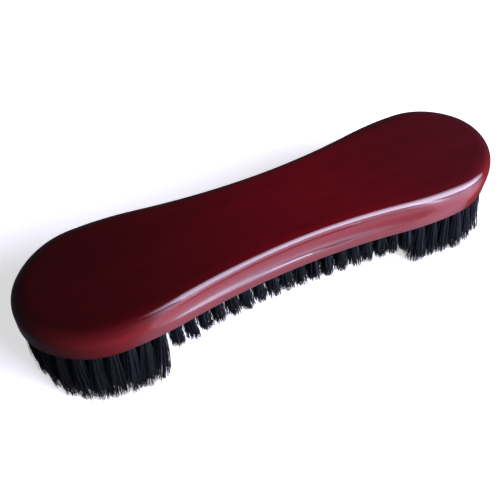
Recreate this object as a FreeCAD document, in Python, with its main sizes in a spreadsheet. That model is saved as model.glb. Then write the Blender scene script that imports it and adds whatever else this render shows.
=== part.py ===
import FreeCAD, Part
import math
import os

import Sketcher
from FreeCAD import Placement, Rotation, Vector

# A double-lobed wooden brush with staple-set bristle tufts, in millimetres.
# +X runs along the brush, +Z is up, and the bristles point down. The origin is under the middle of
# the brush, on the plane that the long bristle tips stand on.

DRIVING_DIMENSIONS = [
    # wooden back
    ("back_length", 266.7),
    ("back_thickness", 18.4),
    ("lobe_width", 68.2),
    ("waist_width", 55.7),
    ("tip_radius", 28.5),
    ("lobe_radius", 43.3),
    ("shoulder_radius", 189.0),
    ("waist_radius", 433.5),
    ("top_round", 10.0),
    ("foot_round", 0.8),
    # finger grooves along both sides of the waist
    ("groove_radius", 6.8),
    ("groove_depth", 4.0),
    ("groove_centre_height", 12.4),
    ("groove_half_length", 82.0),
    ("groove_sweep", 40.0),
    # drilled holes and the staples at their bottoms
    ("hole_diameter", 4.6),
    ("hole_depth", 10.0),
    ("staple_thickness", 0.4),
    ("staple_height", 1.8),
    ("staple_bite", 0.3),
    # tufts
    ("tuft_clearance", 0.1),
    ("long_trim", 31.0),
    ("short_trim", 17.0),
    ("untrimmed_ratio", 1.05),
    ("long_tip_radius", 3.7),
    ("short_tip_radius", 3.3),
    ("long_zone_start", 68.0),
    # rows, counted inwards from the edge of the wood
    ("outer_row_inset", 5.5),
    ("row_gap", 7.4),
    ("tuft_pitch", 7.8),
    ("outer_lean", 11.0),
    ("lean_step", 4.0),
    ("core_half_gap", 4.6),
    ("core_start", 70.0),
    ("core_end", 97.0),
]

ROW_NAMES = ("outer", "second", "third")
# an edge this close to a plane, in mm, lies in it
LEVEL_TOLERANCE = 1e-4
# a cut that takes less wood than this, in cubic mm, has missed
SMALLEST_CUT = 100.0

doc = FreeCAD.newDocument("brush")


def make_sheet():
    """The spreadsheet of driving dimensions, one alias per row."""
    sheet = doc.addObject("Spreadsheet::Sheet", "dims")
    for row, (alias, value) in enumerate(DRIVING_DIMENSIONS, start=1):
        sheet.set(f"A{row}", alias)
        sheet.set(f"B{row}", str(value))
        sheet.setAlias(f"B{row}", alias)
    doc.recompute()
    return sheet


dims = make_sheet()


def dim(alias):
    """A driving dimension's value."""
    return float(dims.get(alias))


def origin_plane(body, role):
    """One of a body's own base planes or axes."""
    return next(o for o in body.Origin.OriginFeatures if o.Role == role)


def bind(owner, sizes):
    """Binds properties of an object to expressions over the sheet."""
    for name, expression in sizes.items():
        owner.setExpression(name, expression)


# ---------------------------------------------------------------- outline of the wood


def quadrant_centres():
    """Centres of the tip, lobe, shoulder and waist arcs where X and Y are positive.

    The tip arc is centred on the X axis and the waist arc on the Y axis. The shoulder arc is as
    high as the lobe's half width and touches the waist arc, and the lobe arc lies inside both the
    shoulder circle and the circle of its own radius around the tip."""
    tip = Vector(dim("back_length") / 2 - dim("tip_radius"), 0, 0)
    waist = Vector(0, dim("waist_width") / 2 + dim("waist_radius"), 0)
    shoulder_y = dim("lobe_width") / 2 - dim("shoulder_radius")
    reach = dim("shoulder_radius") + dim("waist_radius")
    shoulder = Vector(math.sqrt(reach**2 - (waist.y - shoulder_y) ** 2), shoulder_y, 0)
    to_shoulder = dim("shoulder_radius") - dim("lobe_radius")
    to_tip = dim("lobe_radius") - dim("tip_radius")
    between = tip.sub(shoulder)
    along = (to_shoulder**2 - to_tip**2 + between.Length**2) / (2 * between.Length)
    aside = math.sqrt(to_shoulder**2 - along**2)
    forward = Vector(between).normalize()
    sideways = Vector(-forward.y, forward.x, 0)
    lobe = shoulder + forward * along + sideways * aside
    return tip, lobe, shoulder, waist


def angle_of(vector):
    return math.atan2(vector.y, vector.x)


def outline_arcs(inset=0.0):
    """The outline, moved inwards by inset, as arcs (centre, radius, start angle, sweep).

    They run anticlockwise from the right tip, and the sweep is negative on the hollow waist."""
    tip, lobe, shoulder, waist = quadrant_centres()
    tip_end = angle_of(tip.sub(lobe))
    lobe_end = angle_of(lobe.sub(shoulder))
    shoulder_end = angle_of(waist.sub(shoulder))
    waist_turn = shoulder_end - math.pi / 2
    quadrant = [
        (tip, dim("tip_radius") - inset, 0.0, tip_end),
        (lobe, dim("lobe_radius") - inset, tip_end, lobe_end - tip_end),
        (shoulder, dim("shoulder_radius") - inset, lobe_end, shoulder_end - lobe_end),
        (waist, dim("waist_radius") + inset, waist_turn - math.pi / 2, -waist_turn),
    ]
    quarters = [quadrant]
    for flip_x, flip_y in ((-1, 1), (-1, -1), (1, -1)):
        quarter = []
        for centre, radius, start, sweep in quadrant:
            moved = Vector(centre.x * flip_x, centre.y * flip_y, 0)
            if flip_x * flip_y > 0:
                quarter.append((moved, radius, start + math.pi, sweep))
            elif flip_x < 0:
                quarter.append((moved, radius, math.pi - start - sweep, sweep))
            else:
                quarter.append((moved, radius, -start - sweep, sweep))
        quarters.append(quarter if flip_x * flip_y > 0 else quarter[::-1])
    return [arc for quarter in quarters for arc in quarter]


def point_on(arcs, distance):
    """The point at a distance along the arcs, and the outward direction there."""
    for centre, radius, start, sweep in arcs:
        length = radius * abs(sweep)
        if distance <= length:
            angle = start + sweep * distance / length
            spoke = Vector(math.cos(angle), math.sin(angle), 0)
            outward = spoke if sweep > 0 else spoke * -1
            return centre + spoke * radius, outward
        distance -= length
    return point_on(arcs, distance)


# ---------------------------------------------------------------- wooden back


def add_outline_sketch(body):
    """The hourglass outline as twelve tangent arcs: two tips, four lobes, four shoulders and two
    waists, held by their radii, the overall length and the two widths."""
    sketch = body.newObject("Sketcher::SketchObject", "outline")
    sketch.AttachmentSupport = (origin_plane(body, "XY_Plane"), "")
    sketch.MapMode = "FlatFace"
    tip, lobe, shoulder, waist = quadrant_centres()
    tip_end = angle_of(tip.sub(lobe))
    lobe_end = angle_of(lobe.sub(shoulder))
    shoulder_end = angle_of(waist.sub(shoulder))
    turn = shoulder_end - math.pi / 2
    half_turn = math.pi

    def arc(centre, flip_x, flip_y, radius, start, end):
        middle = Vector(centre.x * flip_x, centre.y * flip_y, 0)
        circle = Part.Circle(middle, Vector(0, 0, 1), radius)
        return sketch.addGeometry(Part.ArcOfCircle(circle, start, end), False)

    radii = {name: dim(f"{name}_radius") for name in ("tip", "lobe", "shoulder", "waist")}
    right_tip = arc(tip, 1, 1, radii["tip"], -tip_end, tip_end)
    lobe_1 = arc(lobe, 1, 1, radii["lobe"], tip_end, lobe_end)
    shoulder_1 = arc(shoulder, 1, 1, radii["shoulder"], lobe_end, shoulder_end)
    back_waist = arc(waist, 1, 1, radii["waist"], -half_turn / 2 - turn, -half_turn / 2 + turn)
    shoulder_2 = arc(shoulder, -1, 1, radii["shoulder"], half_turn - shoulder_end, half_turn - lobe_end)
    lobe_2 = arc(lobe, -1, 1, radii["lobe"], half_turn - lobe_end, half_turn - tip_end)
    left_tip = arc(tip, -1, 1, radii["tip"], half_turn - tip_end, half_turn + tip_end)
    lobe_3 = arc(lobe, -1, -1, radii["lobe"], half_turn + tip_end, half_turn + lobe_end)
    shoulder_3 = arc(shoulder, -1, -1, radii["shoulder"], half_turn + lobe_end, half_turn + shoulder_end)
    front_waist = arc(waist, 1, -1, radii["waist"], half_turn / 2 - turn, half_turn / 2 + turn)
    shoulder_4 = arc(shoulder, 1, -1, radii["shoulder"], -shoulder_end, -lobe_end)
    lobe_4 = arc(lobe, 1, -1, radii["lobe"], -lobe_end, -tip_end)

    start, end, middle = 1, 2, 3
    joints = [
        (right_tip, end, lobe_1, start),
        (lobe_1, end, shoulder_1, start),
        (shoulder_1, end, back_waist, end),
        (back_waist, start, shoulder_2, start),
        (shoulder_2, end, lobe_2, start),
        (lobe_2, end, left_tip, start),
        (left_tip, end, lobe_3, start),
        (lobe_3, end, shoulder_3, start),
        (shoulder_3, end, front_waist, end),
        (front_waist, start, shoulder_4, start),
        (shoulder_4, end, lobe_4, start),
        (lobe_4, end, right_tip, start),
    ]
    for first, first_end, second, second_end in joints:
        sketch.addConstraint(Sketcher.Constraint("Tangent", first, first_end, second, second_end))

    def constrain(name, expression, *arguments):
        index = sketch.addConstraint(Sketcher.Constraint(*arguments))
        sketch.renameConstraint(index, name)
        sketch.setExpression(f"Constraints.{name}", expression)

    arcs_by_kind = {
        "tip": (right_tip, left_tip),
        "lobe": (lobe_1, lobe_2, lobe_3, lobe_4),
        "shoulder": (shoulder_1, shoulder_2, shoulder_3, shoulder_4),
        "waist": (back_waist, front_waist),
    }
    for kind, members in arcs_by_kind.items():
        for number, member in enumerate(members):
            expression = f"dims.{kind}_radius"
            constrain(f"{kind}_radius_{number}", expression, "Radius", member, radii[kind])

    x_axis, y_axis, root = -1, -2, (-1, 1)
    for tip_arc in (right_tip, left_tip):
        sketch.addConstraint(Sketcher.Constraint("PointOnObject", tip_arc, middle, x_axis))
    for waist_arc in (back_waist, front_waist):
        sketch.addConstraint(Sketcher.Constraint("PointOnObject", waist_arc, middle, y_axis))
    half_span = "dims.back_length / 2 - dims.tip_radius"
    constrain("right_reach", half_span, "DistanceX", *root, right_tip, middle, tip.x)
    constrain("left_reach", half_span, "DistanceX", left_tip, middle, *root, tip.x)
    waist_rise = "dims.waist_width / 2 + dims.waist_radius"
    constrain("back_rise", waist_rise, "DistanceY", *root, back_waist, middle, waist.y)
    constrain("front_rise", waist_rise, "DistanceY", front_waist, middle, *root, waist.y)
    drop = "dims.shoulder_radius - dims.lobe_width / 2"
    for number, member in enumerate((shoulder_1, shoulder_2)):
        constrain(f"back_drop_{number}", drop, "DistanceY", member, middle, *root, -shoulder.y)
    for number, member in enumerate((shoulder_3, shoulder_4)):
        constrain(f"front_drop_{number}", drop, "DistanceY", *root, member, middle, -shoulder.y)
    return sketch


def groove_path():
    """Distance of a groove's turning axis from the middle of the brush, and the radius that its
    deepest line turns on. The line is groove_depth inside the waist, and leaves the wood at
    groove_half_length."""
    deepest = dim("waist_width") / 2 - dim("groove_depth")
    reach = dim("groove_half_length")
    shoulder = quadrant_centres()[2]
    exit_y = shoulder.y + math.sqrt(dim("shoulder_radius") ** 2 - (reach - shoulder.x) ** 2)
    rise = exit_y - deepest
    radius = (reach**2 + rise**2) / (2 * rise)
    return deepest + radius, radius


def add_finger_grooves(body):
    """A shallow cove along each side of the waist, turned about an upright axis beside it."""
    axis_y, path_radius = groove_path()
    height = dim("groove_centre_height")
    cutter_y = axis_y - path_radius + dim("groove_radius")
    sketch = body.newObject("Sketcher::SketchObject", "groove_section")
    sketch.AttachmentSupport = (origin_plane(body, "YZ_Plane"), "")
    sketch.MapMode = "FlatFace"
    circle = Part.Circle(Vector(cutter_y, height, 0), Vector(0, 0, 1), dim("groove_radius"))
    section = sketch.addGeometry(circle, False)
    axis = sketch.addGeometry(
        Part.LineSegment(Vector(axis_y, 0, 0), Vector(axis_y, 2 * height, 0)), True
    )
    radius = sketch.addConstraint(Sketcher.Constraint("Radius", section, dim("groove_radius")))
    sketch.renameConstraint(radius, "cutter")
    sketch.setExpression("Constraints.cutter", "dims.groove_radius")
    rise = sketch.addConstraint(Sketcher.Constraint("DistanceY", -1, 1, section, 3, height))
    sketch.renameConstraint(rise, "rise")
    sketch.setExpression("Constraints.rise", "dims.groove_centre_height")
    sketch.addConstraint(Sketcher.Constraint("DistanceX", -1, 1, section, 3, cutter_y))
    sketch.addConstraint(Sketcher.Constraint("Vertical", axis))
    sketch.addConstraint(Sketcher.Constraint("PointOnObject", axis, 1, -1))
    sketch.addConstraint(Sketcher.Constraint("DistanceX", -1, 1, axis, 1, axis_y))
    sketch.addConstraint(Sketcher.Constraint("DistanceY", axis, 1, axis, 2, 2 * height))
    doc.recompute()

    groove = body.newObject("PartDesign::Groove", "finger_groove")
    groove.Profile = sketch
    groove.ReferenceAxis = (sketch, ["Axis0"])
    groove.Midplane = True
    groove.setExpression("Angle", "dims.groove_sweep")
    doc.recompute()
    mirrored = body.newObject("PartDesign::Mirrored", "both_finger_grooves")
    mirrored.Originals = [groove]
    mirrored.MirrorPlane = (origin_plane(body, "XZ_Plane"), [""])
    body.Tip = mirrored
    doc.recompute()


def level_edges(shape, height):
    """Names of the edges that lie in the plane at a height above the body's own base."""
    names = []
    for number, edge in enumerate(shape.Edges, start=1):
        box = edge.BoundBox
        if max(abs(box.ZMin - height), abs(box.ZMax - height)) < LEVEL_TOLERANCE:
            names.append(f"Edge{number}")
    return names


def add_fillet(body, base, name, edges, radius_expression):
    fillet = body.newObject("PartDesign::Fillet", name)
    fillet.Base = (base, edges)
    fillet.setExpression("Radius", radius_expression)
    doc.recompute()
    return fillet


def make_wood_blank():
    """The moulded block before drilling, its base at the bottom of the wood."""
    body = doc.addObject("PartDesign::Body", "wood_blank")
    sketch = add_outline_sketch(body)
    doc.recompute()
    pad = body.newObject("PartDesign::Pad", "block")
    pad.Profile = sketch
    pad.setExpression("Length", "dims.back_thickness")
    doc.recompute()
    top = level_edges(pad.Shape, dim("back_thickness"))
    rounded = add_fillet(body, pad, "top_roundover", top, "dims.top_round")
    foot = level_edges(rounded.Shape, 0.0)
    add_fillet(body, rounded, "foot_rounding", foot, "dims.foot_round")
    before = body.Shape.Volume
    add_finger_grooves(body)
    if body.Shape.Volume > before - SMALLEST_CUT:
        raise RuntimeError("the finger grooves cut nothing")
    body.setExpression("Placement.Base.z", "dims.long_trim")
    doc.recompute()
    return body


# ---------------------------------------------------------------- one hole, tuft and staple
# Each prototype stands at the origin with its hole's mouth in the XY plane, and leans towards +X.


def leaning(lean):
    """The turn that points a hole's lower end towards +X by the lean."""
    return Placement(Vector(0, 0, 0), Rotation(Vector(0, 1, 0), -lean))


def add_staple_plate(name):
    """A flat wire staple across the bottom of an upright hole, its ends biting into the wood."""
    plate = doc.addObject("Part::Box", name)
    bind(
        plate,
        {
            "Length": "dims.staple_thickness",
            "Width": "dims.hole_diameter + 2 * dims.staple_bite",
            "Height": "dims.staple_height",
            "Placement.Base.x": "-dims.staple_thickness / 2",
            "Placement.Base.y": "-dims.hole_diameter / 2 - dims.staple_bite",
            "Placement.Base.z": "dims.hole_depth - dims.staple_height",
        },
    )
    return plate


def add_drill(plate):
    """The space that a tuft's hole and its staple take out of the wood."""
    bore = doc.addObject("Part::Cylinder", "hole_bore")
    bind(
        bore,
        {
            "Radius": "dims.hole_diameter / 2",
            "Height": "dims.hole_depth + dims.hole_diameter",
            "Placement.Base.z": "-dims.hole_diameter",
        },
    )
    drill = doc.addObject("Part::Fuse", "hole_and_staple_slot")
    drill.Base = bore
    drill.Tool = plate
    return drill


def add_upright_tuft(plate, length):
    """An untrimmed tuft: its root fills the hole round the staple, and it spreads below."""
    root = doc.addObject("Part::Cylinder", f"{length}_tuft_root")
    bind(
        root,
        {
            "Radius": "dims.hole_diameter / 2 - dims.tuft_clearance",
            "Height": "dims.hole_depth",
        },
    )
    brush = doc.addObject("Part::Cone", f"{length}_tuft_spread")
    bind(
        brush,
        {
            "Radius1": f"dims.{length}_tip_radius",
            "Radius2": "dims.hole_diameter / 2 - dims.tuft_clearance",
            "Height": f"dims.{length}_trim * dims.untrimmed_ratio",
            "Placement.Base.z": f"-dims.{length}_trim * dims.untrimmed_ratio",
        },
    )
    whole = doc.addObject("Part::Fuse", f"{length}_tuft_whole")
    whole.Base = root
    whole.Tool = brush
    tuft = doc.addObject("Part::Cut", f"{length}_tuft_over_staple")
    tuft.Base = whole
    tuft.Tool = plate
    return tuft


def trimmed(tuft, length, lean):
    """A leaning tuft, cut flat and level at its trim length."""
    shape = tuft.Shape.copy()
    shape.Placement = leaning(lean).multiply(shape.Placement)
    wide = 4 * dim(f"{length}_trim")
    depth = dim(f"{length}_trim")
    slab = Part.makeBox(wide, wide, depth + wide, Vector(-wide / 2, -wide / 2, -depth))
    return shape.common(slab).Solids[0]


# ---------------------------------------------------------------- places of the tufts


def zone_of(point):
    if point.x < -dim("long_zone_start"):
        return "left_end"
    if point.x > dim("long_zone_start"):
        return "right_end"
    return "front_middle" if point.y < 0 else "back_middle"


def row_lean(row):
    return max(dim("outer_lean") - row * dim("lean_step"), 0.0)


def contour_places():
    """Tufts on the rows that follow the outline: group name to [(point, outward, lean)]."""
    places = {}
    for row, row_name in enumerate(ROW_NAMES):
        arcs = outline_arcs(dim("outer_row_inset") + row * dim("row_gap"))
        around = sum(radius * abs(sweep) for _, radius, _, sweep in arcs)
        count = 4 * round(around / dim("tuft_pitch") / 4)
        for number in range(count):
            point, outward = point_on(arcs, around * (number + 0.5) / count)
            group = f"{row_name}_{zone_of(point)}"
            places.setdefault(group, []).append((point, outward, row_lean(row)))
    return places


def core_places():
    """Upright tufts inside the third row: one row along the waist, and two in each lobe."""
    places = {"core_left_end": [], "core_middle": [], "core_right_end": []}
    pitch = dim("tuft_pitch")
    half = int((dim("long_zone_start") - pitch / 2) / pitch)
    for number in range(-half, half + 1):
        point = Vector(number * pitch, 0, 0)
        places["core_middle"].append((point, Vector(1, 0, 0), 0.0))
    per_lobe = int((dim("core_end") - dim("core_start")) / pitch) + 1
    for number in range(per_lobe):
        x = dim("core_start") + pitch * number
        for y in (-dim("core_half_gap"), dim("core_half_gap")):
            places["core_right_end"].append((Vector(x, y, 0), Vector(1, 0, 0), 0.0))
            places["core_left_end"].append((Vector(-x, y, 0), Vector(-1, 0, 0), 0.0))
    return places


def at_hole(shape, point, outward):
    """A copy of a prototype moved to a hole's mouth and turned to lean outwards."""
    turn = Rotation(Vector(1, 0, 0), outward)
    copy = shape.copy()
    mouth = Vector(point.x, point.y, dim("long_trim"))
    copy.Placement = Placement(mouth, turn).multiply(copy.Placement)
    return copy


def add_group(label, shapes):
    group = doc.addObject("Part::Feature", label)
    group.Label = label
    group.Shape = Part.makeCompound(shapes)
    return group


# ---------------------------------------------------------------- assembly

blank = make_wood_blank()
plate = add_staple_plate("staple_plate")
drill = add_drill(plate)
upright = {length: add_upright_tuft(plate, length) for length in ("long", "short")}
doc.recompute()

groups = {**contour_places(), **core_places()}
parts = []
drills = []
for name, places in groups.items():
    length = "long" if name.endswith("_end") else "short"
    lean = places[0][2]
    tuft = trimmed(upright[length], length, lean)
    staple = plate.Shape.copy()
    staple.Placement = leaning(lean).multiply(staple.Placement)
    cutter = drill.Shape.copy()
    cutter.Placement = leaning(lean).multiply(cutter.Placement)
    parts.append(add_group(f"tufts_{name}", [at_hole(tuft, p, o) for p, o, _ in places]))
    parts.append(add_group(f"staples_{name}", [at_hole(staple, p, o) for p, o, _ in places]))
    drills.extend(at_hole(cutter, p, o) for p, o, _ in places)

holes = add_group("drilled_holes", drills)
wooden_back = doc.addObject("Part::Cut", "wooden_back")
wooden_back.Label = "wooden_back"
wooden_back.Base = blank
wooden_back.Tool = holes
doc.recompute()
parts.insert(0, wooden_back)

# ---------------------------------------------------------------- checks and export

for thing in doc.Objects:
    if "Invalid" in thing.State or "Error" in thing.State:
        raise RuntimeError(f"{thing.Name} did not rebuild: {thing.State}")
for part in parts:
    if part.Shape.isNull() or not part.Shape.isValid():
        raise RuntimeError(f"{part.Label} has no valid shape")
if wooden_back.Shape.Volume > blank.Shape.Volume - len(drills) * SMALLEST_CUT:
    raise RuntimeError("the tuft holes are missing from the wood")

os.makedirs("parts", exist_ok=True)
for part in parts:
    part.Shape.exportStep(f"parts/{part.Label}.step")
    print(f"{part.Label}: {len(part.Shape.Solids)} solids, volume {part.Shape.Volume:.0f}")
print(f"{len(drills)} tufts")
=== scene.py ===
import math

import bmesh
import bpy
import numpy as np
from mathutils import Matrix, Vector
from mathutils.geometry import delaunay_2d_cdt


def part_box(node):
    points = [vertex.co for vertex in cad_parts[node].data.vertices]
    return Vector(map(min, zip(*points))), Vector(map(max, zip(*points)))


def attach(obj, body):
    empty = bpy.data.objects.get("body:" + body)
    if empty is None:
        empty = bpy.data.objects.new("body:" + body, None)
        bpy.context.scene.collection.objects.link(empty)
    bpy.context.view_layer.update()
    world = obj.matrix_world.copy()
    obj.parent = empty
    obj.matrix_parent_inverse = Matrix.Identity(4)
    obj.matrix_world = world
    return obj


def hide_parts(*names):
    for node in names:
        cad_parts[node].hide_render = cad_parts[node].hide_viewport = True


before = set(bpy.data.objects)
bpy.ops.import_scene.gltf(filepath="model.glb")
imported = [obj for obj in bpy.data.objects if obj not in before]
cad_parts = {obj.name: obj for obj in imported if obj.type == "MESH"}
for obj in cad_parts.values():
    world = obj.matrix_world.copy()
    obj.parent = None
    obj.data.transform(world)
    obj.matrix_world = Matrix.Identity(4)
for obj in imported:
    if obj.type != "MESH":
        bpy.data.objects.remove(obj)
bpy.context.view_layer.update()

MM = 0.001
SEED = 20

# Sizes of the wood that its box doesn't give, as they are in the part's own source.
TIP_RADIUS = 28.5 * MM
LOBE_RADIUS = 43.3 * MM
SHOULDER_RADIUS = 189.0 * MM
WAIST_RADIUS = 433.5 * MM
WAIST_WIDTH = 55.7 * MM
TOP_ROUND = 10.0 * MM
FOOT_ROUND = 0.8 * MM
GROOVE_RADIUS = 6.8 * MM
GROOVE_DEPTH = 4.0 * MM
GROOVE_HEIGHT = 12.4 * MM
GROOVE_HALF_LENGTH = 82.0 * MM
HOLE_RADIUS = 2.3 * MM
HOLE_DEPTH = 10.0 * MM

wood_low, wood_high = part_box("wooden_back")
UNDERSIDE = wood_low[2]
HALF_LENGTH = (wood_high[0] - wood_low[0]) / 2
HALF_LOBE = (wood_high[1] - wood_low[1]) / 2
THICKNESS = wood_high[2] - wood_low[2]


# ---------------------------------------------------------------- node helpers


def new_material(name):
    material = bpy.data.materials.new(name)
    material.use_nodes = True
    nodes = material.node_tree.nodes
    shader = next(n for n in nodes if n.type == "BSDF_PRINCIPLED")
    return material, material.node_tree, shader


def grey(value):
    return (value,) * 3


def add_node(tree, kind, **values):
    """A node with its properties and its numbered or named inputs set."""
    node = tree.nodes.new(kind)
    for name, value in values.items():
        if name.startswith("in_"):
            key = name[3:]
            socket = node.inputs[int(key)] if key.isdigit() else node.inputs[key]
            socket.default_value = value
        else:
            setattr(node, name, value)
    return node


def add_parts(tree, vector):
    """The X, Y and Z of a vector."""
    node = add_node(tree, "ShaderNodeSeparateXYZ")
    tree.links.new(vector, node.inputs[0])
    return node.outputs["X"], node.outputs["Y"], node.outputs["Z"]


def add_noise(tree, place, scale, detail=2.0, roughness=0.5):
    """Noise over a place, stretched if the scale has three parts."""
    if isinstance(scale, tuple):
        stretch = add_node(tree, "ShaderNodeMapping", in_Scale=scale)
        tree.links.new(place, stretch.inputs["Vector"])
        place, scale = stretch.outputs[0], 1.0
    noise = add_node(tree, "ShaderNodeTexNoise", in_Scale=scale, in_Detail=detail, in_Roughness=roughness)
    tree.links.new(place, noise.inputs["Vector"])
    return noise.outputs["Fac"]


def add_range(tree, source, low, high, first=0.0, last=1.0):
    """A value carried in a straight line from low..high to first..last, and held beyond them."""
    node = add_node(tree, "ShaderNodeMapRange", in_1=low, in_2=high, in_3=first, in_4=last)
    tree.links.new(source, node.inputs[0])
    return node.outputs[0]


def add_ramp(tree, source, stops):
    """A colour ramp fed by a value, with (position, colour) stops."""
    ramp = tree.nodes.new("ShaderNodeValToRGB")
    elements = ramp.color_ramp.elements
    while len(elements) < len(stops):
        elements.new(0.5)
    for element, (position, colour) in zip(elements, stops):
        element.position = position
        element.color = (*colour, 1.0)
    tree.links.new(source, ramp.inputs[0])
    return ramp.outputs[0]


def add_profile(tree, source, stops):
    """A value that follows straight lines between (source value, result) stops."""
    low, high = stops[0][0], stops[-1][0]
    share = add_range(tree, source, low, high)
    return add_ramp(tree, share, [((place - low) / (high - low), grey(value)) for place, value in stops])


def add_math(tree, operation, first, second=0.5):
    node = tree.nodes.new("ShaderNodeMath")
    node.operation = operation
    for socket, value in zip(node.inputs, (first, second)):
        if isinstance(value, (int, float)):
            socket.default_value = value
        else:
            tree.links.new(value, socket)
    return node.outputs[0]


def add_mix(tree, factor, first, second, blend="MIX"):
    node = tree.nodes.new("ShaderNodeMix")
    node.data_type = "RGBA"
    node.blend_type = blend
    for index, value in ((0, factor), (6, first), (7, second)):
        if isinstance(value, bpy.types.NodeSocket):
            tree.links.new(value, node.inputs[index])
        elif index == 0:
            node.inputs[index].default_value = value
        else:
            node.inputs[index].default_value = (*value, 1.0)
    return node.outputs[2]


def multiply(tree, first, second):
    return add_mix(tree, 1.0, first, second, "MULTIPLY")


# ---------------------------------------------------------------- materials

# noise scales per metre, with the long grain and the pores stretched along the brush
GRAIN_SCALE = (9.0, 120.0, 120.0)
PORE_SCALE = (60.0, 1400.0, 1400.0)
CLOUD_SCALE = 16.0
LACQUER_WAVE_SCALE = 90.0
DUST_SCALE = 700.0
WIRE_LINE_SCALE = 2500.0
FLOOR_SCALE = 3.0
# the stain on the flat top and on the moulded sides, by the grain; the top's is darker, which is painted
# shade on the top
TOP_STAIN_AND_SHADE = [
    (0.30, (0.096, 0.0042, 0.0064)),
    (0.55, (0.115, 0.0052, 0.0088)),
    (0.75, (0.130, 0.0060, 0.0108)),
]
SIDE_STAIN = [
    (0.30, (0.258, 0.0195, 0.021)),
    (0.55, (0.264, 0.0205, 0.022)),
    (0.75, (0.270, 0.0215, 0.023)),
]
# painted light along the top, from the left end at 0 to the right end at 1: painted shade darkens it towards
# the left end, and a painted bluish reflection lifts it at the right end
TOP_PAINTED_LIGHT = [
    (0.0, (0.25, 0.06, 0.10)),
    (0.14, (0.32, 0.09, 0.16)),
    (0.27, (0.45, 0.12, 0.22)),
    (0.39, (0.61, 0.17, 0.32)),
    (0.50, (0.80, 0.22, 0.40)),
    (0.62, (0.85, 0.27, 0.44)),
    (0.75, (0.68, 0.36, 0.50)),
    (0.88, (0.56, 0.55, 0.62)),
    (1.0, (0.48, 0.70, 0.75)),
]
# painted shade on the moulded sides along the brush, darkest towards the left end, from the left end at 0 to
# the right end at 1
SIDE_PAINTED_SHADE = [(0.0, grey(0.50)), (0.15, grey(0.75)), (0.25, grey(1.0)), (1.0, grey(0.95))]
CLOUD_SHADES = [(0.3, grey(0.86)), (0.7, grey(1.0))]
PORE_SHADES = [(0.36, grey(0.80)), (0.46, grey(1.0))]
# painted shade along the lower edge of the sides: how high it reaches, and how much colour is left at the
# bottom
LOWER_EDGE = 5.0 * MM
LOWER_EDGE_PAINTED_SHADE = 0.70
# the normal's Z from side to top, and its X from side to end grain
TOP_NORMAL = (0.25, 0.92)
END_NORMAL = (0.35, 0.95)
# how dark the tips get: end grain that takes more stain, and painted shade at the two ends
END_GRAIN_STAIN_AND_SHADE = 0.68
WOOD_ROUGHNESS = (0.32, 0.44)
COAT_ROUGHNESS = 0.07
LACQUER_IOR = 1.5
LACQUER_WAVE_STRENGTH = 0.08
LACQUER_WAVE_DEPTH = 0.4 * MM
# from the darkest strand to the lightest
STRAND_COLOURS = [
    (0.0, (0.0028, 0.0044, 0.0062)),
    (0.6, (0.0065, 0.0112, 0.0160)),
    (0.85, (0.018, 0.029, 0.040)),
    (1.0, (0.050, 0.070, 0.092)),
]
DUST_SHADES = [(0.3, grey(0.75)), (0.7, grey(1.1))]
STRAND_ROUGHNESS = (0.36, 0.5)
STRAND_SPECULAR = 0.45
STEEL_COLOURS = [(0.3, (0.32, 0.32, 0.33)), (0.7, (0.55, 0.55, 0.57))]
STEEL_ROUGHNESS = (0.25, 0.45)


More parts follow.
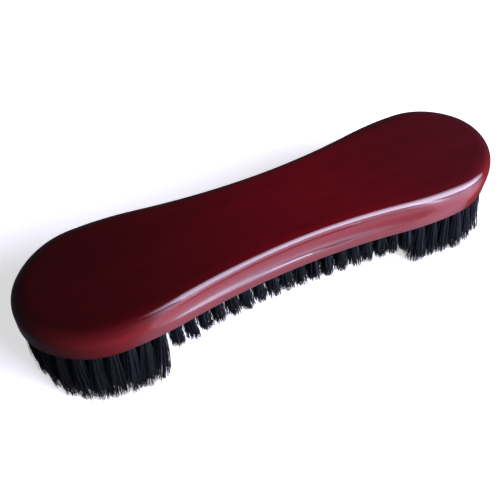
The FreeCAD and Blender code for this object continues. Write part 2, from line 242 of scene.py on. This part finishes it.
def lacquered_wood():
    """Dark red stained hardwood under a clear gloss lacquer, with painted shade and a painted reflection in
    its colour.
    """
    material, tree, shader = new_material("lacquered_wood")
    link = tree.links.new
    place = add_node(tree, "ShaderNodeTexCoord").outputs["Object"]
    place_x, _, place_z = add_parts(tree, place)
    normal = add_node(tree, "ShaderNodeNewGeometry").outputs["Normal"]
    normal_x, _, normal_z = add_parts(tree, normal)
    grain = add_noise(tree, place, GRAIN_SCALE, detail=6.0, roughness=0.6)
    pores = add_noise(tree, place, PORE_SCALE, detail=3.0, roughness=0.55)
    clouds = add_noise(tree, place, CLOUD_SCALE)

    along = add_range(tree, place_x, -HALF_LENGTH, HALF_LENGTH)
    # the top's colour carries painted shade towards the left end and a painted reflection at the right end
    top = multiply(tree, add_ramp(tree, grain, TOP_STAIN_AND_SHADE), add_ramp(tree, along, TOP_PAINTED_LIGHT))
    # the sides' colour carries painted shade towards the left end
    side = multiply(tree, add_ramp(tree, grain, SIDE_STAIN), add_ramp(tree, along, SIDE_PAINTED_SHADE))
    # painted shade: the sides are darker along their lower edge, next to the bristles
    edge = add_range(tree, place_z, UNDERSIDE, UNDERSIDE + LOWER_EDGE, LOWER_EDGE_PAINTED_SHADE, 1.0)
    side = multiply(tree, side, edge)
    # painted shade: the flat top takes the darker colour and the moulded sides the lighter one
    colour = add_mix(tree, add_range(tree, normal_z, *TOP_NORMAL), side, top)
    # the end grain at the two tips drinks more stain, and the darker tips are also painted shade
    end_facing = add_math(tree, "ABSOLUTE", normal_x)
    colour = multiply(tree, colour, add_range(tree, end_facing, *END_NORMAL, 1.0, END_GRAIN_STAIN_AND_SHADE))
    colour = multiply(tree, colour, add_ramp(tree, clouds, CLOUD_SHADES))
    colour = multiply(tree, colour, add_ramp(tree, pores, PORE_SHADES))
    link(colour, shader.inputs["Base Color"])
    link(add_range(tree, grain, 0.0, 1.0, *WOOD_ROUGHNESS), shader.inputs["Roughness"])
    shader.inputs["Coat Weight"].default_value = 1.0
    shader.inputs["Coat Roughness"].default_value = COAT_ROUGHNESS
    shader.inputs["Coat IOR"].default_value = LACQUER_IOR
    shader.inputs["Specular IOR Level"].default_value = 0.0

    # slight waviness of the sprayed lacquer
    bump = add_node(
        tree, "ShaderNodeBump", in_Strength=LACQUER_WAVE_STRENGTH, in_Distance=LACQUER_WAVE_DEPTH
    )
    link(add_noise(tree, place, LACQUER_WAVE_SCALE), bump.inputs["Height"])
    link(bump.outputs[0], shader.inputs["Normal"])
    link(bump.outputs[0], shader.inputs["Coat Normal"])
    return material


def black_bristle():
    """Black filament: blue-black, with a satin sheen and some lighter strands."""
    material, tree, shader = new_material("black_bristle")
    # each strand's own tone, which also carries painted light along the brush
    tone = add_node(tree, "ShaderNodeAttribute", attribute_name="strand_tone_and_light").outputs["Fac"]
    place = add_node(tree, "ShaderNodeTexCoord").outputs["Object"]
    dust = add_noise(tree, place, DUST_SCALE)
    colour = multiply(tree, add_ramp(tree, tone, STRAND_COLOURS), add_ramp(tree, dust, DUST_SHADES))
    tree.links.new(colour, shader.inputs["Base Color"])
    tree.links.new(add_range(tree, dust, 0.0, 1.0, *STRAND_ROUGHNESS), shader.inputs["Roughness"])
    shader.inputs["Specular IOR Level"].default_value = STRAND_SPECULAR
    return material


def staple_steel():
    """Drawn flat wire with fine lines in it."""
    material, tree, shader = new_material("staple_steel")
    place = add_node(tree, "ShaderNodeTexCoord").outputs["Object"]
    lines = add_noise(tree, place, WIRE_LINE_SCALE)
    tree.links.new(add_ramp(tree, lines, STEEL_COLOURS), shader.inputs["Base Color"])
    tree.links.new(add_range(tree, lines, 0.0, 1.0, *STEEL_ROUGHNESS), shader.inputs["Roughness"])
    shader.inputs["Metallic"].default_value = 1.0
    return material


WOOD = lacquered_wood()
BRISTLE = black_bristle()
STEEL = staple_steel()


def give_material(piece, material):
    piece.data.materials.clear()
    piece.data.materials.append(material)


# ---------------------------------------------------------------- places read from the CAD tufts


# vertices this close are the same place, whatever faces split them
SAME_PLACE = 1e-6
# a tuft's tip is its lowest slice, and its crown is what lies inside the wood
TIP_SLICE = 0.05 * MM
CROWN_START = 0.5 * MM


def loose_parts(mesh):
    """Vertex positions of each separate solid in a mesh."""
    count = len(mesh.vertices)
    points = np.empty(count * 3, np.float32)
    mesh.vertices.foreach_get("co", points)
    points = points.reshape(-1, 3).astype(float)
    cells = np.round(points / SAME_PLACE).astype(np.int64)
    keys, owner = np.unique(cells, axis=0, return_inverse=True)
    owner = owner.ravel()
    parent = np.arange(len(keys))

    def root(index):
        while parent[index] != index:
            parent[index] = parent[parent[index]]
            index = parent[index]
        return index

    for edge in mesh.edges:
        first, second = (root(owner[v]) for v in edge.vertices)
        if first != second:
            parent[first] = second
    groups = {}
    for index in range(count):
        groups.setdefault(root(owner[index]), []).append(index)
    return [points[indices] for indices in groups.values()]


def tufts_of(node):
    """Each tuft in a CAD group: its centre in the wood's underside, its axis and its trim plane."""
    tufts = []
    for points in loose_parts(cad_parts[node].data):
        bottom = points[:, 2].min()
        tip = points[points[:, 2] < bottom + TIP_SLICE].mean(axis=0)
        crown = points[points[:, 2] > UNDERSIDE + CROWN_START]
        head = (crown.min(axis=0) + crown.max(axis=0)) / 2
        axis = (tip - head) / np.linalg.norm(tip - head)
        mouth = head + axis * (UNDERSIDE - head[2]) / axis[2]
        tufts.append((mouth, axis, bottom))
    # the order doesn't depend on how the mesh happens to be numbered
    return sorted(tufts, key=lambda tuft: tuple(np.round(tuft[0] / MM, 1)))


TUFTS = {node: tufts_of(node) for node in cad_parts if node.startswith("tufts_")}


# ---------------------------------------------------------------- shape of the wooden back

# points on a quarter of the outline: tip, lobe, shoulder and waist
QUARTER_STEPS = (44, 36, 30, 66)
# rings on the flat top, the round-over, the upright wall and the rounded foot
TOP_LEVELS = 12
ROUND_STEPS = 20
WALL_STEPS = 20
FOOT_STEPS = 5
HOLE_SIDES = 20
# the lips of the grooves are sanded softer towards the right end
GROOVE_SOFTNESS = 2.3 * MM
SOFTENING = 0.8 / (60.0 * MM)
SOFTEST = 2.6 * MM
SHARP_ANGLE = math.radians(35)
WELD_REACH = 1e-6
EMPTY_EDGE = 1e-7


def quadrant_arcs(inset):
    """The quarter outline where X and Y are positive, as (centre, radius, first and last angle)."""
    tip = np.array([HALF_LENGTH - TIP_RADIUS, 0.0])
    waist = np.array([0.0, WAIST_WIDTH / 2 + WAIST_RADIUS])
    drop = HALF_LOBE - SHOULDER_RADIUS
    shoulder = np.array([math.sqrt((SHOULDER_RADIUS + WAIST_RADIUS) ** 2 - (waist[1] - drop) ** 2), drop])
    to_shoulder = SHOULDER_RADIUS - LOBE_RADIUS
    to_tip = LOBE_RADIUS - TIP_RADIUS
    apart = np.linalg.norm(tip - shoulder)
    along = (to_shoulder**2 - to_tip**2 + apart**2) / (2 * apart)
    aside = math.sqrt(to_shoulder**2 - along**2)
    forward = (tip - shoulder) / apart
    lobe = shoulder + forward * along + np.array([-forward[1], forward[0]]) * aside

    def angle(vector):
        return math.atan2(vector[1], vector[0])

    turns = angle(tip - lobe), angle(lobe - shoulder), angle(waist - shoulder)
    return [
        (tip, TIP_RADIUS - inset, 0.0, turns[0]),
        (lobe, LOBE_RADIUS - inset, turns[0], turns[1]),
        (shoulder, SHOULDER_RADIUS - inset, turns[1], turns[2]),
        (waist, WAIST_RADIUS + inset, turns[2] - math.pi, -math.pi / 2),
    ]


def outline(inset):
    """Points round the outline moved inwards, anticlockwise from the right tip.

    The same number of points lies on each arc at any inset, so that rings match."""
    quarter = []
    for (centre, radius, first, last), steps in zip(quadrant_arcs(inset), QUARTER_STEPS):
        angles = np.linspace(first, last, steps, endpoint=False)
        quarter.append(centre + radius * np.stack([np.cos(angles), np.sin(angles)], axis=1))
    quarter = np.concatenate(quarter)
    waist_point = np.array([[0.0, WAIST_WIDTH / 2 - inset]])
    half = np.concatenate([quarter, waist_point, (quarter * [-1, 1])[::-1]])
    return np.concatenate([half, (half * [1, -1])[::-1][1:-1]])


def groove_path():
    """Y of a groove's turning axis, and the radius that the cutter's centre turns on."""
    deepest = WAIST_WIDTH / 2 - GROOVE_DEPTH
    centre, radius = quadrant_arcs(0.0)[2][:2]
    exit_y = centre[1] + math.sqrt(radius**2 - (GROOVE_HALF_LENGTH - centre[0]) ** 2)
    rise = exit_y - deepest
    turn = (GROOVE_HALF_LENGTH**2 + rise**2) / (2 * rise)
    return deepest + turn, turn - GROOVE_RADIUS


GROOVE_AXIS_Y, GROOVE_TURN = groove_path()


def cut_grooves(points):
    """Moves points of the side inwards to where the two finger grooves are, with soft lips."""
    moved = points.copy()
    for side in (-1, 1):
        facing = points[:, 1] * side > 0
        spoke = points[facing, :2] - [0, side * GROOVE_AXIS_Y]
        distance = np.linalg.norm(spoke, axis=1)
        rise = points[facing, 2] - UNDERSIDE - GROOVE_HEIGHT
        half_chord = np.sqrt(np.maximum(GROOVE_RADIUS**2 - rise**2, 0))
        depth = GROOVE_TURN + half_chord - distance
        depth -= np.maximum(np.abs(rise) - GROOVE_RADIUS, 0)
        softness = np.minimum(GROOVE_SOFTNESS * np.exp(points[facing, 0] * SOFTENING), SOFTEST)
        cut = (depth + np.sqrt(depth**2 + softness**2)) / 2
        cut -= softness**2 / 4 / (np.abs(depth) + softness)
        cut = np.maximum(cut, 0)
        moved[facing, :2] += spoke / distance[:, None] * cut[:, None]
    return moved


def side_profile():
    """Inset and height of each ring from the flat top down to the underside."""
    rings = []
    for step in range(ROUND_STEPS + 1):
        turn = math.pi / 2 * step / ROUND_STEPS
        rings.append((TOP_ROUND * (1 - math.sin(turn)), THICKNESS - TOP_ROUND * (1 - math.cos(turn))))
    wall = THICKNESS - TOP_ROUND - FOOT_ROUND
    rings += [(0.0, FOOT_ROUND + wall * (1 - step / WALL_STEPS)) for step in range(1, WALL_STEPS + 1)]
    for step in range(1, FOOT_STEPS + 1):
        turn = math.pi / 2 * step / FOOT_STEPS
        rings.append((FOOT_ROUND * (1 - math.cos(turn)), FOOT_ROUND * (1 - math.sin(turn))))
    return rings


def top_rings():
    """Rings of the flat top, closing in from the round-over to a line along the middle."""
    edge = outline(TOP_ROUND)
    reach = HALF_LENGTH - TIP_RADIUS
    spine = np.stack([np.clip(edge[:, 0], -reach, reach), np.zeros(len(edge))], axis=1)
    return [spine + (edge - spine) * step / TOP_LEVELS for step in range(TOP_LEVELS)]


def underside_faces(rim, holes):
    """Triangles of the underside between the rim and the mouths of the tuft holes."""
    corners = [Vector(p[:2]) for p in rim]
    edges = [(i, (i + 1) % len(rim)) for i in range(len(rim))]
    for centre, _ in holes:
        first = len(corners)
        for side in range(HOLE_SIDES):
            turn = 2 * math.pi * side / HOLE_SIDES
            offset = HOLE_RADIUS * Vector((math.cos(turn), math.sin(turn)))
            corners.append(Vector(centre[:2]) + offset)
            edges.append((first + side, first + (side + 1) % HOLE_SIDES))
    spots, _, faces, *_ = delaunay_2d_cdt(corners, edges, [], 0, EMPTY_EDGE)
    if len(spots) != len(corners):
        raise RuntimeError("the tuft holes meet each other or the rim")
    spots = np.array([tuple(s) for s in spots])
    centres = np.array([centre[:2] for centre, _ in holes])
    rim_points = np.array(rim)[:, :2]
    kept = []
    for face in faces:
        middle = spots[list(face)].mean(axis=0)
        # a hole's own faces have their middles well inside its circle
        in_hole = np.linalg.norm(centres - middle, axis=1).min() < HOLE_RADIUS * 0.98
        if not in_hole and inside(rim_points, middle):
            kept.append(list(face))
    return spots, kept


def inside(polygon, point):
    """True if a point lies inside a closed polygon."""
    after = np.roll(polygon, -1, axis=0)
    crosses = (polygon[:, 1] > point[1]) != (after[:, 1] > point[1])
    rise = np.where(crosses, after[:, 1] - polygon[:, 1], 1.0)
    meets = polygon[:, 0] + (point[1] - polygon[:, 1]) * (after[:, 0] - polygon[:, 0]) / rise
    return np.count_nonzero(crosses & (point[0] < meets)) % 2 == 1


def make_back():
    """The moulded, grooved and drilled wooden back as one closed fine mesh."""
    around = len(outline(0.0))
    rings = [np.column_stack([ring, np.full(around, UNDERSIDE + THICKNESS)]) for ring in top_rings()]
    for inset, height in side_profile():
        rings.append(np.column_stack([outline(inset), np.full(around, UNDERSIDE + height)]))
    points = cut_grooves(np.concatenate(rings))
    following = np.roll(np.arange(around), -1)
    faces = []
    for ring in range(len(rings) - 1):
        upper, lower = ring * around, (ring + 1) * around
        faces += [
            [upper + i, lower + i, lower + following[i], upper + following[i]] for i in range(around)
        ]

    holes = [(mouth, axis) for tufts in TUFTS.values() for mouth, axis, _ in tufts]
    rim_start = (len(rings) - 1) * around
    spots, base = underside_faces(points[rim_start:], holes)
    # the rim's own points are shared with the last ring, and the hole mouths are new points
    mouth_start = len(points)
    mouths = np.column_stack([spots[around:], np.full(len(spots) - around, UNDERSIDE)])
    to_mesh = np.concatenate([rim_start + np.arange(around), mouth_start + np.arange(len(mouths))])
    for face in base:
        corners = spots[face]
        turn = np.cross(corners[1] - corners[0], corners[2] - corners[0])
        faces.append([int(to_mesh[i]) for i in (face if turn < 0 else face[::-1])])
    all_points = [points, mouths]
    next_point = mouth_start + len(mouths)
    for number, (centre, axis) in enumerate(holes):
        first = mouth_start + number * HOLE_SIDES
        ring = mouths[number * HOLE_SIDES : (number + 1) * HOLE_SIDES]
        all_points.append(ring - axis * HOLE_DEPTH)
        for side in range(HOLE_SIDES):
            after = (side + 1) % HOLE_SIDES
            faces.append([first + side, first + after, next_point + after, next_point + side])
        faces.append([next_point + side for side in range(HOLE_SIDES)])
        next_point += HOLE_SIDES
    mesh = bpy.data.meshes.new("lacquered_back")
    mesh.from_pydata(np.concatenate(all_points).tolist(), [], faces)
    back = bpy.data.objects.new("lacquered_back", mesh)
    bpy.context.scene.collection.objects.link(back)
    weld(mesh)
    mesh.shade_smooth()
    mesh.set_sharp_from_angle(angle=SHARP_ANGLE)
    give_material(back, WOOD)
    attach(back, "root")
    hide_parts("wooden_back")


def weld(mesh):
    """Merges the points that meet on the middle line of the top, and drops the empty faces."""
    shape = bmesh.new()
    shape.from_mesh(mesh)
    bmesh.ops.remove_doubles(shape, verts=shape.verts, dist=WELD_REACH)
    bmesh.ops.dissolve_degenerate(shape, edges=shape.edges, dist=EMPTY_EDGE)
    bmesh.ops.recalc_face_normals(shape, faces=shape.faces)
    open_edges = sum(len(edge.link_faces) != 2 for edge in shape.edges)
    if open_edges:
        print("open edges in the back:", open_edges)
    shape.to_mesh(mesh)
    shape.free()


# ---------------------------------------------------------------- bristles

LONG_STRANDS = 320
SHORT_STRANDS = 270
# lengthwise steps and sides of a strand
LONG_STEPS = 5
SHORT_STEPS = 3
SIDES = 3
ROOT_RADIUS = 2.05 * MM
ROOT_DEPTH = 2.0 * MM
LONG_SPREAD = 5.6 * MM
SHORT_SPREAD = 3.9 * MM
# the tufts in the middle of an end spread further, into the space between the leaning rows
CORE_WIDENING = 1.65
# a tuft opens quickly below its hole and then more slowly
OPENING_POWER = 0.75
STRAND_RADIUS = 0.14 * MM
STRAND_TAPER = 0.2
CURL = 0.35 * MM
WANDER = 0.55 * MM
LOWEST_TIP = 0.02 * MM
# the unevenness of the strands' trim, and of a whole tuft's trim, lean, spread and strand widths
TRIM_JITTER = 0.3 * MM
TUFT_TRIM = 0.2 * MM
TUFT_LEAN = 0.02
SPREAD_RANGE = (0.92, 1.08)
WIDTH_RANGE = (0.8, 1.2)
# the share of strands that stray from their tuft, how far, and how much shorter they are
STRAY_SHARE = 0.04
STRAY_REACH = 1.5 * MM
STRAY_SHORTENING = 0.15
# tones run from 0, dark, to 1: their spread in a tuft, the tufts' own range, what is added to stray strands,
# and painted light that lightens the strands towards the right end and darkens them towards the left
TONE_SHAPE = (2.0, 3.5)
TONE_RANGE = (0.75, 1.1)
STRAY_TONE = 0.3
RIGHT_END_PAINTED_LIGHT = 0.2
# how much of each hole's own lean the strands keep, and the bend they have taken on top of it,
# as sideways parts of their length: left end, middle and right end
KEPT_LEAN = {"left": 0.10, "middle": 1.03, "right": 0.36}
TAKEN_BEND = {"left": (-0.020, -0.190), "middle": (0.082, -0.006), "right": (0.107, -0.038)}
BEND_POWER = 1.38
# the left end's tufts have closed up along the brush, towards the middle of their field
CLOSING = 4.3
CLOSING_CENTRE = -100.0 * MM
# the bend taken towards the front dies out over this distance behind the middle line
BEND_FADE = 25.0 * MM


def disc(random, count):
    """Even random places in a unit disc."""
    radius = np.sqrt(random.random(count))
    turn = random.random(count) * 2 * math.pi
    return np.stack([radius * np.cos(turn), radius * np.sin(turn)], axis=1)


def bend_of(mouth, slope, is_long):
    """The sideways bend of a tuft's strands beyond the lean of its hole, per length."""
    place = "middle" if not is_long else "left" if mouth[0] < 0 else "right"
    taken_x, taken_y = TAKEN_BEND[place]
    if place == "left":
        taken_x -= CLOSING * (mouth[0] - CLOSING_CENTRE)
    taken_y *= np.clip(1 - mouth[1] / BEND_FADE, 0, 1)
    return slope * (KEPT_LEAN[place] - 1) + [taken_x, taken_y]


def grow_tuft(tuft, is_long, spread, random):
    """The corners of a tuft's strands, by strand, ring and side, and the tone of each strand."""
    mouth, axis, trim = tuft
    strands = LONG_STRANDS if is_long else SHORT_STRANDS
    start = disc(random, strands) * ROOT_RADIUS
    stray = random.random(strands) < STRAY_SHARE
    wander = np.where(stray, STRAY_REACH, WANDER)[:, None]
    end = start * spread * random.uniform(*SPREAD_RANGE) / ROOT_RADIUS
    end = end + random.normal(0, 1, (strands, 2)) * wander
    drop = UNDERSIDE - trim
    slope = axis[:2] / -axis[2]
    lean = bend_of(mouth, slope, is_long) + random.normal(0, TUFT_LEAN, 2)
    level = trim + np.abs(random.normal(0, TRIM_JITTER, strands))
    level = level + random.uniform(-TUFT_TRIM, TUFT_TRIM)
    level = level + stray * random.random(strands) * STRAY_SHORTENING * drop
    level = np.maximum(level, LOWEST_TIP)
    top = mouth[2] + ROOT_DEPTH
    curl = random.normal(0, CURL, (strands, 2))
    width = STRAND_RADIUS * random.uniform(*WIDTH_RANGE, strands)
    turn = random.random(strands) * 2 * math.pi
    rings = []
    for share in np.linspace(0, 1, (LONG_STEPS if is_long else SHORT_STEPS) + 1):
        height = top + (level - top) * share
        fall = np.maximum(UNDERSIDE - height, -ROOT_DEPTH)
        open_share = np.clip(fall / drop, 0, 1)
        centre = mouth[:2] + slope * fall[:, None]
        centre = centre + start + (end - start) * (open_share**OPENING_POWER)[:, None]
        centre = centre + curl * (open_share * (1 - open_share) * 4)[:, None]
        centre = centre + lean * (drop * open_share**BEND_POWER)[:, None]
        thick = width * (1 - STRAND_TAPER * share)
        ring = np.empty((strands, SIDES, 3))
        for side in range(SIDES):
            angle = turn + side * 2 * math.pi / SIDES
            ring[:, side, 0] = centre[:, 0] + thick * np.cos(angle)
            ring[:, side, 1] = centre[:, 1] + thick * np.sin(angle)
            ring[:, side, 2] = height
        rings.append(ring)
    tone = random.beta(*TONE_SHAPE, strands) * random.uniform(*TONE_RANGE)
    # painted light: the strands are lightened towards the right end, where the light falls, and darkened
    # towards the left end
    tone = tone + stray * STRAY_TONE + RIGHT_END_PAINTED_LIGHT * mouth[0] / HALF_LENGTH
    return np.stack(rings, axis=1), np.clip(tone, 0, 1)


def strand_mesh(name, corners, tones):
    """Closed strands from their corners, by strand, ring and side, with a tone on every point."""
    strands, rings = corners.shape[:2]
    per_strand = rings * SIDES
    quads = []
    for step in range(rings - 1):
        for side in range(SIDES):
            this, after = step * SIDES + side, step * SIDES + (side + 1) % SIDES
            quads.append([this, this + SIDES, after + SIDES, after])
    ends = [[0, 1, 2], [per_strand - 1, per_strand - 2, per_strand - 3]]
    offsets = (np.arange(strands) * per_strand)[:, None]
    loops = [(np.array(faces).ravel()[None, :] + offsets).ravel() for faces in (quads, ends)]
    quad_starts = np.arange(strands * len(quads)) * 4
    end_starts = len(loops[0]) + np.arange(strands * len(ends)) * 3
    loops = np.concatenate(loops)
    starts = np.concatenate([quad_starts, end_starts])

    mesh = bpy.data.meshes.new(name)
    mesh.vertices.add(strands * per_strand)
    mesh.vertices.foreach_set("co", corners.astype(np.float32).ravel())
    mesh.loops.add(len(loops))
    mesh.loops.foreach_set("vertex_index", loops.astype(np.int32))
    mesh.polygons.add(len(starts))
    mesh.polygons.foreach_set("loop_start", starts.astype(np.int32))
    mesh.update(calc_edges=True)
    mesh.validate()
    tone_layer = mesh.attributes.new("strand_tone_and_light", "FLOAT", "POINT")
    tone_layer.data.foreach_set("value", np.repeat(tones, per_strand).astype(np.float32))
    mesh.shade_smooth()
    return mesh


def make_tufts(node, tufts, random):
    """One piece with every strand of a CAD group's tufts."""
    is_long = node.endswith("_end")
    spread = LONG_SPREAD if is_long else SHORT_SPREAD
    if is_long and "core" in node:
        spread *= CORE_WIDENING
    grown = [grow_tuft(tuft, is_long, spread, random) for tuft in tufts]
    corners, tones = (np.concatenate(arrays) for arrays in zip(*grown))
    mesh = strand_mesh(node.replace("tufts", "bristles"), corners, tones)
    piece = bpy.data.objects.new(mesh.name, mesh)
    bpy.context.scene.collection.objects.link(piece)
    give_material(piece, BRISTLE)
    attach(piece, "root")
    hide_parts(node)


make_back()
random = np.random.default_rng(SEED)
for node in sorted(TUFTS):
    make_tufts(node, TUFTS[node], random)
for node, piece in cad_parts.items():
    if node.startswith("staples_"):
        give_material(piece, STEEL)


# ---------------------------------------------------------------- floor, light and camera

# where the camera and the window face the brush from, in degrees: the bearing to the right of
# the front, the elevation and the roll
CAMERA_FACING = (-31.02, 54.02, 4.47)
CAMERA_DISTANCE = 375.25 * MM
CAMERA_TARGET = Vector((-15.65 * MM, -7.45 * MM, UNDERSIDE))
CAMERA_LENS = 53.28
CAMERA_SENSOR = 36.0
CAMERA_NEAREST = 0.01
WINDOW_FACING = (45, 43, -32)
WINDOW_DISTANCE = 0.75
WINDOW_SIZE = (1.17, 0.64)
WINDOW_CORNER = (-0.42, -0.22)
WINDOW_POWER = 44.3
WINDOW_COLOUR = (0.80, 0.75, 1.0)
# each fade runs along a slanted scale: the shares of across and of upward in it, then where on
# the scale the window is dark and where it is full
WINDOW_FADES = (
    (1.0, 0.0, 0.004, 0.30),  # the left side
    (0.585, 0.64, 0.65, 0.43),  # the upper right
    (0.42, 1.0, 0.16, 0.21),  # the lower left corner
    (-2.1, 1.0, 0.26, 0.05),  # the upper left
)
ROOM_COLOUR = (0.055, 0.055, 0.07)
ROOM_TINT = (1.03, 1.0, 1.40)
# paler parts of the room: strength, then its share by bearing in degrees to the right of the
# front, and its share by height, from -1 straight down to 1 straight up
WALL = (
    3.3,
    (
        (5, 0.0), (12, 0.12), (16, 0.36), (19, 0.64), (22, 0.82),
        (25, 1.0), (35, 1.0), (48, 1.15), (63, 0.65), (76, 0.0),
    ),
    (
        (-0.85, 0.17), (-0.60, 0.32), (-0.40, 0.42), (-0.20, 0.70),
        (0.0, 0.92), (0.20, 1.10), (0.35, 1.0), (0.60, 0.0),
    ),
)
SECOND_WINDOW = (
    10.0,
    (
        (14, 0.0), (17, 0.10), (21, 0.22), (23.5, 0.10), (25, 0.13),
        (26.3, 0.72), (27.5, 0.95), (30, 0.9), (33.5, 0.0),
    ),
    ((0.08, 0.0), (0.20, 0.45), (0.30, 0.80), (0.42, 1.0), (0.60, 0.80), (0.75, 0.0)),
)
FLOOR_HALF_SIZE = 3.0
FLOOR_TINTS = [(0.3, grey(0.84)), (0.7, grey(0.86))]
FLOOR_ROUGHNESS = 0.9
FLOOR_GLOW = 0.75


def facing(bearing, elevation, roll):
    """The right, up and backward directions of something that faces the brush."""
    bearing, elevation, roll = (math.radians(angle) for angle in (bearing, elevation, roll))
    heading = Vector((math.sin(bearing), -math.cos(bearing), 0))
    backward = heading * math.cos(elevation) + Vector((0, 0, math.sin(elevation)))
    level = Vector((math.cos(bearing), math.sin(bearing), 0))
    right = level * math.cos(roll) + backward.cross(level) * math.sin(roll)
    return right, backward.cross(right), backward


def stand(data, place, directions):
    """A camera or lamp at a place, turned to its right, up and backward directions."""
    thing = bpy.data.objects.new(data.name, data)
    thing.matrix_world = Matrix.Translation(place) @ Matrix(directions).transposed().to_4x4()
    bpy.context.scene.collection.objects.link(thing)
    return thing


def make_camera():
    data = bpy.data.cameras.new("camera")
    data.lens = CAMERA_LENS
    data.sensor_width = CAMERA_SENSOR
    data.clip_start = CAMERA_NEAREST
    directions = facing(*CAMERA_FACING)
    place = CAMERA_TARGET + directions[2] * CAMERA_DISTANCE
    bpy.context.scene.camera = stand(data, place, directions)


def make_window():
    """A soft window in front and to the right, crisp along its lower edge and fading elsewhere."""
    data = bpy.data.lights.new("window", "AREA")
    data.shape = "RECTANGLE"
    data.size, data.size_y = WINDOW_SIZE
    data.energy = WINDOW_POWER
    data.color = WINDOW_COLOUR
    data.use_nodes = True
    tree = data.node_tree
    emission = next(n for n in tree.nodes if n.type == "EMISSION")
    pane = add_node(tree, "ShaderNodeNewGeometry").outputs["Parametric"]
    across, upward, _ = add_parts(tree, pane)
    strength = 1.0
    for across_share, upward_share, dark, full in WINDOW_FADES:
        sideways = add_math(tree, "MULTIPLY", across, across_share)
        rising = add_math(tree, "MULTIPLY", upward, upward_share)
        fade = add_range(tree, add_math(tree, "ADD", sideways, rising), dark, full)
        strength = add_math(tree, "MULTIPLY", strength, fade)
    tree.links.new(strength, emission.inputs["Strength"])

    right, up, backward = facing(*WINDOW_FACING)
    middle = [low + size / 2 for low, size in zip(WINDOW_CORNER, WINDOW_SIZE)]
    place = Vector((0, 0, UNDERSIDE)) + backward * WINDOW_DISTANCE + right * middle[0] + up * middle[1]
    stand(data, place, (right, up, backward))


def make_floor():
    """A plain pale floor that glows a little, and that the lacquer doesn't reflect."""
    mesh = bpy.data.meshes.new("floor")
    corners = [(x * FLOOR_HALF_SIZE, y * FLOOR_HALF_SIZE, 0) for x, y in ((-1, -1), (1, -1), (1, 1), (-1, 1))]
    mesh.from_pydata(corners, [], [(0, 1, 2, 3)])
    floor = bpy.data.objects.new("floor", mesh)
    bpy.context.scene.collection.objects.link(floor)
    material, tree, shader = new_material("pale_floor")
    place = add_node(tree, "ShaderNodeTexCoord").outputs["Object"]
    tint = add_ramp(tree, add_noise(tree, place, FLOOR_SCALE), FLOOR_TINTS)
    tree.links.new(tint, shader.inputs["Base Color"])
    tree.links.new(tint, shader.inputs["Emission Color"])
    shader.inputs["Roughness"].default_value = FLOOR_ROUGHNESS
    shader.inputs["Emission Strength"].default_value = FLOOR_GLOW
    give_material(floor, material)
    floor.visible_glossy = False
    floor.visible_diffuse = False


def make_world():
    """A dim room, with a low wall and a second window to the front and right."""
    world = bpy.data.worlds.new("studio")
    world.use_nodes = True
    tree = world.node_tree
    background = next(n for n in tree.nodes if n.type == "BACKGROUND")
    heading = add_node(tree, "ShaderNodeTexCoord").outputs["Generated"]
    rightward, backward, height = add_parts(tree, heading)
    forward = add_math(tree, "MULTIPLY", backward, -1.0)
    bearing = add_math(tree, "ARCTAN2", rightward, forward)
    bearing = add_math(tree, "MULTIPLY", bearing, 180 / math.pi)
    light = ROOM_COLOUR
    for strength, by_bearing, by_height in (WALL, SECOND_WINDOW):
        across = add_profile(tree, bearing, by_bearing)
        upward = add_profile(tree, height, by_height)
        tint = tuple(strength * channel for channel in ROOM_TINT)
        glow = multiply(tree, multiply(tree, across, upward), tint)
        light = add_mix(tree, 1.0, glow, light, "ADD")
    tree.links.new(light, background.inputs["Color"])
    bpy.context.scene.world = world


make_camera()
make_floor()
make_world()
make_window()
bpy.context.scene.view_settings.view_transform = "Standard"
